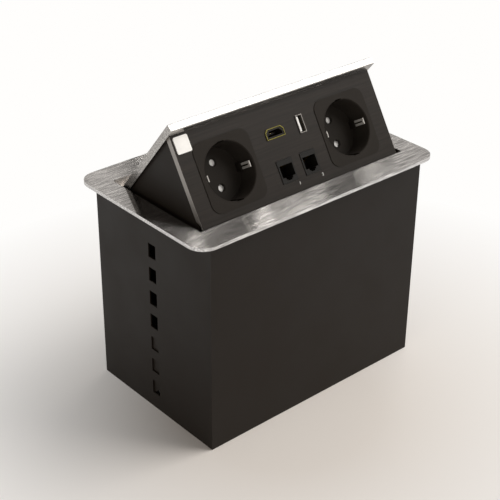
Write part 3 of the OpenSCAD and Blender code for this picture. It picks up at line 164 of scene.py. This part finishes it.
def brushed_steel(name, color):
    """Steel brushed along X: sharp along the scratches, spread across them, with short visible grain."""
    s = Shader(name, color, roughness=0.36, metallic=1.0)
    fine = s.noise(FINE_CELLS, detail=2, stretch=FINE_STRETCH)
    grain = s.noise(GRAIN_CELLS, detail=3, stretch=GRAIN_STRETCH, rough=0.7)
    s.vary_color(s.ranged(grain, 0, 1, near=0.38, far=0.62), dark=0.62, light=1.2)
    s.bump(fine, strength=0.3, depth_mm=0.006)
    s.bump(grain, strength=0.5, depth_mm=0.01)
    gloss = s.node("BsdfAnisotropic")
    gloss.inputs["Anisotropy"].default_value = GLOSS_STRETCH
    way = s.node("CombineXYZ")
    way.inputs["X"].default_value = 1.0
    s.link(way.outputs["Vector"], gloss.inputs["Tangent"])
    s.link(s.bsdf.inputs["Base Color"].links[0].from_socket, gloss.inputs["Color"])
    s.link(s.ranged(fine, *GLOSS_ROUGHNESS), gloss.inputs["Roughness"])
    s.link(s.height, gloss.inputs["Normal"])
    mix = s.node("MixShader")
    mix.inputs["Fac"].default_value = GLOSS_SHARE
    s.link(s.bsdf.outputs["BSDF"], mix.inputs[1])
    s.link(gloss.outputs["BSDF"], mix.inputs[2])
    s.link(mix.outputs["Shader"], s.tree.nodes["Material Output"].inputs["Surface"])
    return s.material


def coated_steel(name, color, roughness):
    """Powder coat: fine orange peel with faint cloudy gloss."""
    s = Shader(name, color, roughness, Specular_IOR_Level=0.18)
    peel = s.noise(1400, detail=3)
    cloud = s.noise(28, detail=4)
    s.vary_color(s.ranged(cloud, 0, 1), dark=0.93, light=1.07)
    s.vary_roughness(cloud, low=roughness - 0.05, high=roughness + 0.05)
    s.bump(peel, strength=0.3, depth_mm=0.02)
    return s.material


# Painted highlight on the cut ends: between two distances from the panel's ends the coat's colour turns to
# a lighter metal, which stands in for the ends' highlight
PAINTED_END_HIGHLIGHT = (0.29, 0.27, 0.25)
END_HIGHLIGHT_FROM, END_HIGHLIGHT_TO = -0.12*MM, -0.04*MM


def anodised(name, color):
    """Dark anodised sheet brushed along X, with a painted highlight on its cut ends: a lighter metal colour
    there.
    """
    s = Shader(name, color, roughness=0.4, Specular_IOR_Level=0.2)
    fine = s.noise(4200, detail=2, stretch=(70, 1, 1))
    broad = s.noise(700, detail=3, stretch=(50, 1, 1), rough=0.7)
    split = s.node("SeparateXYZ")
    s.link(s.coords, split.inputs["Vector"])
    out = s.node("Math", operation="ABSOLUTE")
    s.link(split.outputs["X"], out.inputs[0])
    # painted highlight: near the panel's ends the colour turns to a lighter metal and the surface turns
    # fully metallic, in place of the ends' highlight
    end_highlight = s.node("MapRange")
    end_highlight.inputs["From Min"].default_value = PANEL_END + END_HIGHLIGHT_FROM
    end_highlight.inputs["From Max"].default_value = PANEL_END + END_HIGHLIGHT_TO
    s.link(out.outputs["Value"], end_highlight.inputs["Value"])
    grain = s.node("Mix", data_type="RGBA")
    grain.inputs["A"].default_value = (*(c*0.8 for c in color), 1)
    grain.inputs["B"].default_value = (*(c*1.35 for c in color), 1)
    s.link(s.ranged(broad, 0, 1, near=0.35, far=0.65), grain.inputs["Factor"])
    # the coat's grain, with the painted highlight on the ends
    coat = s.node("Mix", data_type="RGBA")
    coat.inputs["B"].default_value = (*PAINTED_END_HIGHLIGHT, 1)
    s.link(end_highlight.outputs["Result"], coat.inputs["Factor"])
    s.link(grain.outputs["Result"], coat.inputs["A"])
    s.link(coat.outputs["Result"], s.bsdf.inputs["Base Color"])
    s.link(end_highlight.outputs["Result"], s.bsdf.inputs["Metallic"])
    s.vary_roughness(fine, low=0.3, high=0.5)
    s.bump(fine, strength=0.3, depth_mm=0.015)
    s.bump(broad, strength=0.2, depth_mm=0.02)
    return s.material


def moulded(name, color, roughness, grain=2600, depth=0.015, **sockets):
    """Moulded plastic with a fine spark texture."""
    s = Shader(name, color, roughness, **sockets)
    spark = s.noise(grain, detail=2)
    cloud = s.noise(60, detail=3)
    s.vary_color(s.ranged(cloud, 0, 1), dark=0.94, light=1.06)
    s.vary_roughness(spark, low=roughness - 0.06, high=roughness + 0.06)
    s.bump(spark, strength=0.25, depth_mm=depth)
    return s.material


def plated(name, color, roughness):
    """Plated metal with a slightly uneven gloss."""
    s = Shader(name, color, roughness, metallic=1.0)
    cloud = s.noise(220, detail=4)
    s.vary_color(s.ranged(cloud, 0, 1), dark=0.88, light=1.08)
    s.vary_roughness(cloud, low=roughness - 0.06, high=roughness + 0.08)
    s.bump(s.noise(1800, detail=2), strength=0.15, depth_mm=0.01)
    return s.material


PANEL_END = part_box("socket_panel")[1][0]

# Each with its colour and its roughness
MATERIALS = {
    "black_coat": coated_steel("black_coat", (0.0118, 0.0085, 0.006), 0.5),
    "panel_coat": anodised("panel_coat", (0.0138, 0.0104, 0.0079)),
    "brushed": brushed_steel("brushed", (0.62, 0.6, 0.585)),
    "brushed_lid": brushed_steel("brushed_lid", (0.42, 0.4, 0.38)),
    "zinc": plated("zinc", (0.66, 0.66, 0.64), 0.34),
    "black_plastic": moulded("black_plastic", (0.0092, 0.0071, 0.0053), 0.45, Specular_IOR_Level=0.2),
    "grey_plastic": moulded("grey_plastic", (0.12, 0.12, 0.125), 0.5),
    "white_plastic": moulded("white_plastic", (0.88, 0.87, 0.85), 0.35),
    "rubber": moulded("rubber", (0.02, 0.02, 0.02), 0.8, grain=1500, depth=0.03),
    "brass": plated("brass", (0.78, 0.58, 0.28), 0.28),
    "gilt": plated("gilt", (0.85, 0.62, 0.22), 0.24),
    "nickel": plated("nickel", (0.76, 0.75, 0.72), 0.22),
    "spring_steel": plated("spring_steel", (0.42, 0.43, 0.45), 0.3),
    "old_gilt": plated("old_gilt", (0.17, 0.15, 0.042), 0.42),
    "satin_nickel": moulded("satin_nickel", (0.43, 0.41, 0.385), 0.6, Metallic=0.45),
    "dull_steel": plated("dull_steel", (0.23, 0.215, 0.2), 0.4),
    "socket_black": moulded("socket_black", (0.0205, 0.0172, 0.0143), 0.5, Specular_IOR_Level=0.08),
    "jack_black": moulded("jack_black", (0.0058, 0.005, 0.004), 0.42, Specular_IOR_Level=0.2),
}

# Nodes whose finish departs from their slot's
FINISH = {
    "lid_plate": "brushed_lid",
    "socket_left": "socket_black", "socket_right": "socket_black",
    "hdmi_coupler": "old_gilt", "usb_charger": "dull_steel", "network_jacks": "jack_black",
    "earth_clip_left": "satin_nickel", "earth_clip_right": "satin_nickel",
}

# The angle in degrees from which an edge is rounded, its facets, and the rounding of the CAD nodes in mm
EDGE_ANGLE, EDGE_FACETS = 40, 2
EDGE = {
    "housing": 0.5, "bezel": 0.2, "lid_plate": 0.35, "socket_panel": 0.25,
    "side_plate_left": 0.2, "side_plate_right": 0.2, "name_badge": 0.2,
    "socket_left": 0.35, "socket_right": 0.35, "network_jacks": 0.15, "hdmi_coupler": 0.08,
    "usb_charger": 0.08, "mains_inlet": 0.3, "outlet_grommet": 0.3, "base_plate": 0.2,
    "clamp_left": 0.2, "clamp_right": 0.2, "clamp_screw_left": 0.4, "clamp_screw_right": 0.4,
    "wiring_cover": 0.2, "latch_bracket": 0.2, "latch_body": 0.3, "base_screws": 0.1,
    "inlet_screws": 0.1, "frame_screws": 0.1, "cover_screws": 0.1, "striker": 0.15,
}


def dress_nodes():
    """Gives every CAD node its material and its rounded edges."""
    for part in frame["record"]["subparts"]:
        obj = nodes[part["node"]]
        material = MATERIALS[FINISH.get(part["node"], part["material_slot"])]
        if not obj.material_slots:
            obj.data.materials.append(material)
        for place in obj.material_slots:
            place.material = material
        if part["node"] in EDGE:
            round_edges(obj, EDGE[part["node"]])


def round_edges(obj, width_mm):
    bevel = obj.modifiers.new("edges", "BEVEL")
    bevel.width = width_mm*MM
    bevel.segments = EDGE_FACETS
    bevel.limit_method = "ANGLE"
    bevel.angle_limit = math.radians(EDGE_ANGLE)
    bevel.use_clamp_overlap = True
    bevel.harden_normals = True


# Stage and light


def flat_plane(name, size, z):
    half = size/2
    mesh = bpy.data.meshes.new(name)
    corners = [(-half, -half, z), (half, -half, z), (half, half, z), (-half, half, z)]
    mesh.from_pydata(corners, [], [(0, 1, 2, 3)])
    obj = bpy.data.objects.new(name, mesh)
    bpy.context.scene.collection.objects.link(obj)
    return obj


# The floor fades to white between two distances from a point under the object, in metres
FLOOR_SIZE, FLOOR_Z = 12, -0.0002
FLOOR_COLOR = (0.84, 0.79, 0.745)
FADE_COLOR = (1, 0.99, 0.975)
FADE_CENTRE, FADE_RANGE = (-0.03, -0.06, 0), (0.075, 0.38)
# The world's strengths, and the heights (1 is straight up) between which they change
WORLD_COLOR = (1, 0.965, 0.92)
ROOM_LIGHT, CEILING_LIGHT, CEILING_RANGE = 1.0, 0.03, (0.2, 0.42)
OVERHEAD_SHINE, OVERHEAD_RANGE = 0.55, (0.64, 0.85)
# Lamps: place and size in metres, power in watts
WARM_WHITE = (1, 0.975, 0.94)
WARM_FILL = (1, 0.94, 0.87)
LIT_POINT = Vector((0, 0, 0.15))
KEY_PLACE, KEY_SIZE, KEY_POWER = LIT_POINT + Vector((0.572, -0.357, 0.738))*3.2, 2.2, 86
FILL_PLACE, FILL_SIZE, FILL_POWER = (-2.4, -0.2, 1.6), 1.6, 3
FRONT_PLACE, FRONT_SIZE, FRONT_POWER = LIT_POINT + Vector((-0.72, -0.58, 0.38))*2.6, 2.8, 18.5
# Lamps that the bezel shows as bands: from and to along its front in mm, brightness (1 is white), and how
# they lie (rise, length). The flap hides what is low behind it, so most of them stand high and are short.
# The front of the bezel, which shows them, is at Y and Z in metres.
BAND_Y, BAND_Z, BAND_DISTANCE = -0.061, 0.1747, 1.6
HIGH, LOW = (math.radians(71), 0.8), (math.radians(50), 1.3)
BANDS = [
    (-165, -130, 0.62, LOW), (-113, -104, 10.0, HIGH), (-50, -43, 18.0, HIGH), (-43, -25, 2.4, HIGH),
    (-22, -15, 8.0, HIGH), (-12, -4, 2.2, HIGH), (-4, 12, 5.0, HIGH), (60, 67, 12.0, HIGH),
    (67, 150, 0.42, LOW),
]


def add_floor():
    """A pale floor that keeps the shadow near the object and fades to white behind it."""
    floor = flat_plane("floor", FLOOR_SIZE, FLOOR_Z)
    s = Shader("floor", FLOOR_COLOR, roughness=0.7)
    s.vary_color(s.ranged(s.noise(3, detail=3), 0, 1), dark=0.99, light=1.0)
    out = s.tree.nodes["Material Output"]
    white = s.node("Emission")
    white.inputs["Color"].default_value = (*FADE_COLOR, 1)
    white.inputs["Strength"].default_value = 1.0
    path = s.node("LightPath")
    sight = path.outputs["Is Camera Ray"]
    for ray in ("Is Glossy Ray", "Is Transmission Ray"):
        either = s.node("Math", operation="MAXIMUM")
        s.link(sight, either.inputs[0])
        s.link(path.outputs[ray], either.inputs[1])
        sight = either.outputs["Value"]
    away = s.node("VectorMath", operation="DISTANCE")
    away.inputs[1].default_value = FADE_CENTRE
    s.link(s.coords, away.inputs[0])
    fade = s.node("MapRange")
    fade.inputs["From Min"].default_value, fade.inputs["From Max"].default_value = FADE_RANGE
    s.link(away.outputs["Value"], fade.inputs["Value"])
    seen = s.node("Math", operation="MULTIPLY")
    s.link(sight, seen.inputs[0])
    s.link(fade.outputs["Result"], seen.inputs[1])
    mix = s.node("MixShader")
    s.link(seen.outputs["Value"], mix.inputs["Fac"])
    s.link(s.bsdf.outputs["BSDF"], mix.inputs[1])
    s.link(white.outputs["Emission"], mix.inputs[2])
    s.link(mix.outputs["Shader"], out.inputs["Surface"])
    floor.data.materials.append(s.material)


def add_world():
    """Soft surroundings: pale near the horizon, dim above it, and pale overhead for gloss alone."""
    world = bpy.data.worlds.new("studio")
    bpy.context.scene.world = world
    world.use_nodes = True
    tree = world.node_tree
    ground = tree.nodes["Background"]
    ground.inputs["Color"].default_value = (*WORLD_COLOR, 1)
    split = tree.nodes.new("ShaderNodeSeparateXYZ")
    tree.links.new(tree.nodes.new("ShaderNodeTexCoord").outputs["Generated"], split.inputs["Vector"])
    height = tree.nodes.new("ShaderNodeMapRange")
    height.interpolation_type = "SMOOTHSTEP"
    height.inputs["From Min"].default_value, height.inputs["From Max"].default_value = CEILING_RANGE
    height.inputs["To Min"].default_value = ROOM_LIGHT
    height.inputs["To Max"].default_value = CEILING_LIGHT
    tree.links.new(split.outputs["Z"], height.inputs["Value"])
    top = tree.nodes.new("ShaderNodeMapRange")
    top.interpolation_type = "SMOOTHSTEP"
    top.inputs["From Min"].default_value, top.inputs["From Max"].default_value = OVERHEAD_RANGE
    top.inputs["To Max"].default_value = OVERHEAD_SHINE
    tree.links.new(split.outputs["Z"], top.inputs["Value"])
    shine = tree.nodes.new("ShaderNodeMath")
    shine.operation = "MULTIPLY"
    tree.links.new(top.outputs["Result"], shine.inputs[0])
    tree.links.new(tree.nodes.new("ShaderNodeLightPath").outputs["Is Glossy Ray"], shine.inputs[1])
    total = tree.nodes.new("ShaderNodeMath")
    tree.links.new(height.outputs["Result"], total.inputs[0])
    tree.links.new(shine.outputs["Value"], total.inputs[1])
    tree.links.new(total.outputs["Value"], ground.inputs["Strength"])


def add_area(name, place, size, power, color):
    """A square lamp that faces the object."""
    data = bpy.data.lights.new(name, "AREA")
    data.shape = "RECTANGLE"
    data.size, data.size_y = size, size
    data.energy = power
    data.color = color
    lamp = bpy.data.objects.new(name, data)
    place = Vector(place)
    turn = (place - LIT_POINT).to_track_quat("Z", "Y").to_matrix().to_4x4()
    lamp.matrix_world = Matrix.Translation(place) @ turn
    bpy.context.scene.collection.objects.link(lamp)


def band_direction(x, rise):
    """Where the front of the bezel throws the camera's view at x, kept on its cone about the brushing."""
    start = Vector((x, BAND_Y, BAND_Z))
    seen = bpy.context.scene.camera.matrix_world.translation - start
    along = -seen.x/seen.length
    spread = math.sqrt(1 - along**2)
    out = Vector((along, spread*math.cos(rise), spread*math.sin(rise)))
    return start + out*BAND_DISTANCE, out


def add_band(name, x_from, x_to, strength, lie):
    """A long lamp that the brushed bezel shows as a bright band between two places on its front."""
    rise, length = lie
    first, second = band_direction(x_from*MM, rise)[0], band_direction(x_to*MM, rise)[0]
    place, out = band_direction((x_from + x_to)/2*MM, rise)
    tangent = Vector((0, -math.sin(rise), math.cos(rise)))
    side = tangent.cross(out)
    width = abs((second - first).dot(side))
    data = bpy.data.lights.new(name, "AREA")
    data.shape = "RECTANGLE"
    data.size, data.size_y = width, length
    data.energy = strength*math.pi*width*length
    data.color = WARM_WHITE
    lamp = bpy.data.objects.new(name, data)
    lamp.matrix_world = Matrix.Translation(place) @ Matrix((side, tangent, out)).transposed().to_4x4()
    lamp.visible_camera = False
    bpy.context.scene.collection.objects.link(lamp)


def add_lights():
    add_area("key", KEY_PLACE, KEY_SIZE, KEY_POWER, WARM_WHITE)
    add_area("fill", FILL_PLACE, FILL_SIZE, FILL_POWER, WARM_FILL)
    add_area("front", FRONT_PLACE, FRONT_SIZE, FRONT_POWER, WARM_FILL)
    for number, band in enumerate(BANDS):
        add_band("band_%d" % number, *band)


# Small pieces on the panel, in the panel's own frame: x along, v down from its top, y into it

# Sizes in mm, those of part.scad wherever it has the piece
PIVOT = Vector((0, 37.8, 170.4))
OPEN_ANGLE, PANEL_LEAN = math.radians(50.8), math.radians(19)
PANEL_ORIGIN = Vector((0, -79.1, -1.3))
SLOPE = PANEL_LEAN - OPEN_ANGLE
INWARDS = Vector((0, math.cos(SLOPE), math.sin(SLOPE)))
UPWARDS = Vector((0, -math.sin(SLOPE), math.cos(SLOPE)))


def panel_place():
    """Matrix from the panel's frame in mm to the world at rest, in metres."""
    turned = Matrix.Rotation(-OPEN_ANGLE, 3, "X") @ PANEL_ORIGIN
    columns = Matrix((Vector((1, 0, 0)), INWARDS, UPWARDS)).transposed().to_4x4()
    return Matrix.Diagonal((MM, MM, MM, 1)) @ Matrix.Translation(PIVOT + turned) @ columns


def panel_piece(name, mesh, slot):
    """A mesh in the panel's frame made into a piece that rides on the flap."""
    mesh.transform(panel_place())
    mesh.update()
    obj = bpy.data.objects.new(name, mesh)
    obj.data.materials.append(MATERIALS[slot])
    bpy.context.scene.collection.objects.link(obj)
    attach(obj, "flap")
    return obj


def add_block(bm, low, high, edge=0.0):
    """A block between two corners, with its edges rounded by edge."""
    corners = [(x, y, z) for x in (low[0], high[0]) for y in (low[1], high[1]) for z in (low[2], high[2])]
    verts = [bm.verts.new(c) for c in corners]
    faces = [(0, 1, 3, 2), (4, 6, 7, 5), (0, 4, 5, 1), (2, 3, 7, 6), (0, 2, 6, 4), (1, 5, 7, 3)]
    made = [bm.faces.new([verts[i] for i in f]) for f in faces]
    if edge:
        edges = list({e for f in made for e in f.edges})
        bmesh.ops.bevel(bm, geom=edges, offset=edge, segments=EDGE_FACETS, affect="EDGES", profile=0.5)


NUMBERS = (("1", -2.4), ("2", 20.2))
NUMBER_SIZE, NUMBER_DEPTH, NUMBER_V, NUMBER_Y = 3.2, 0.03, 61.6, -0.05


def add_numbers():
    """Plain numbers under the two network jacks."""
    for number, x in NUMBERS:
        curve = bpy.data.curves.new("jack_number_" + number, "FONT")
        curve.body = number
        curve.size = NUMBER_SIZE
        curve.extrude = NUMBER_DEPTH
        curve.align_x = "CENTER"
        curve.align_y = "CENTER"
        text = bpy.data.objects.new("text_" + number, curve)
        bpy.context.scene.collection.objects.link(text)
        bpy.context.view_layer.update()
        mesh = bpy.data.meshes.new_from_object(text)
        bpy.data.objects.remove(text)
        mesh.transform(Matrix.Translation((x, NUMBER_Y, -NUMBER_V)) @ Matrix.Rotation(math.pi/2, 4, "X"))
        panel_piece("jack_number_" + number, mesh, "white_plastic")


USB_X, USB_V = 16.0, 21.3
USB_PINS, USB_PITCH = 4, 2.3
HDMI_X, HDMI_V = -9.2, 21.2
HDMI_HALF_W, HDMI_HALF_H, HDMI_SLOPE = 7.0, 2.3, 2.2
HDMI_PINS, HDMI_PITCH = 9, 0.95
# Two corners of each tongue and of one contact strip, from the port's or the strip's middle
USB_TONGUE, USB_STRIP = ((-2.5, 0.1, -5.6), (-0.4, 13.3, 5.6)), ((-0.42, 0.9, -0.55), (-0.32, 12.6, 0.55))
HDMI_TONGUE, HDMI_STRIP = ((-4.7, 4.3, -0.7), (4.7, 11.9, 0.7)), ((-0.2, 4.6, 0.68), (0.2, 11.4, 0.76))
TONGUE_EDGE = 0.15


def bm_piece(name, bm, slot):
    """A built-up mesh in the panel's frame made into a piece of the flap."""
    mesh = bpy.data.meshes.new(name)
    bm.to_mesh(mesh)
    bm.free()
    return panel_piece(name, mesh, slot)


def port_block(bm, x, z, box, edge=0.0):
    """A block between two corners that are measured from x and z on the panel."""
    add_block(bm, *((x + corner[0], corner[1], z + corner[2]) for corner in box), edge)


def add_tongues():
    """Tongues of the ports with their contact strips, in place of the plain ones."""
    bm = bmesh.new()
    port_block(bm, USB_X, -USB_V, USB_TONGUE, TONGUE_EDGE)
    usb = bm_piece("usb_tongue", bm, "white_plastic")
    bm = bmesh.new()
    port_block(bm, HDMI_X, -HDMI_V, HDMI_TONGUE, TONGUE_EDGE)
    display = bm_piece("display_tongue", bm, "black_plastic")
    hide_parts("port_tongues")
    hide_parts("port_tongues")
    bm = bmesh.new()
    for i in range(USB_PINS):
        port_block(bm, USB_X, -USB_V + (i - (USB_PINS - 1)/2)*USB_PITCH, USB_STRIP)
    for i in range(HDMI_PINS):
        port_block(bm, HDMI_X + (i - (HDMI_PINS - 1)/2)*HDMI_PITCH, -HDMI_V, HDMI_STRIP)
    bm_piece("port_contacts", bm, "gilt")


# How far the lining's section stands outside the mouth, and how deep, round the section
LINER_SECTION = ((1.02, -0.2), (1.02, -0.35), (-0.2, -0.35), (-0.2, 11.0), (-0.03, 11.0), (-0.03, -0.2))


def add_liner():
    """Black lining in the display port's mouth, which leaves only the shell's rim uncovered."""
    bm = bmesh.new()
    loops = []
    for grow, y in LINER_SECTION:
        w, h = HDMI_HALF_W + grow, HDMI_HALF_H + grow
        outline = [(-w, -h), (w, -h), (w, grow), (w - HDMI_SLOPE, h), (HDMI_SLOPE - w, h), (-w, grow)]
        loops.append([bm.verts.new((HDMI_X + x, y, z - HDMI_V)) for x, z in outline])
    for near, far in zip(loops, loops[1:] + loops[:1]):
        for i in range(len(near)):
            j = (i + 1) % len(near)
            bm.faces.new((near[i], near[j], far[j], far[i]))
    bmesh.ops.recalc_face_normals(bm, faces=bm.faces)
    bm_piece("display_liner", bm, "black_plastic")


SOCKET_X, SOCKET_V = 57.0, 35.6
# The corners: outer reach from the socket's middle, width, front and back
CORNER_REACH, CORNER_W, CORNER_FRONT, CORNER_BACK = 24.1, 2, -0.03, -0.005
# The ribs: near and far side from the socket's middle, half width, front, back and edge
GUARD_NEAR, GUARD_FAR, GUARD_HALF_W, GUARD_FRONT, GUARD_BACK, GUARD_EDGE = 17.1, 18.2, 3.2, 10.7, 16.7, 0.25


def add_corners():
    """Thin corners of the panel, over the gaps between the square cut-outs and the faces' round corners."""
    bm = bmesh.new()
    for middle in (-SOCKET_X, SOCKET_X):
        for side in (-1, 1):
            for end in (-1, 1):
                x = sorted(middle + side*r for r in (CORNER_REACH - CORNER_W, CORNER_REACH))
                z = sorted(end*r - SOCKET_V for r in (CORNER_REACH - CORNER_W, CORNER_REACH))
                add_block(bm, (x[0], CORNER_FRONT, z[0]), (x[1], CORNER_BACK, z[1]))
    bm_piece("panel_corners", bm, "panel_coat")


def add_guards():
    """Ribs of the sockets in front of the deep ends of the earth clips."""
    bm = bmesh.new()
    for middle in (-SOCKET_X, SOCKET_X):
        for side in (-1, 1):
            x = sorted(middle + side*r for r in (GUARD_NEAR, GUARD_FAR))
            add_block(bm, (x[0], GUARD_FRONT, -SOCKET_V - GUARD_HALF_W),
                      (x[1], GUARD_BACK, -SOCKET_V + GUARD_HALF_W), GUARD_EDGE)
    bm_piece("clip_guards", bm, "black_plastic")


add_camera()
dress_nodes()
add_numbers()
add_tongues()
add_liner()
add_corners()
add_guards()
add_floor()
add_world()
add_lights()
bpy.context.scene.view_settings.view_transform = "Standard"
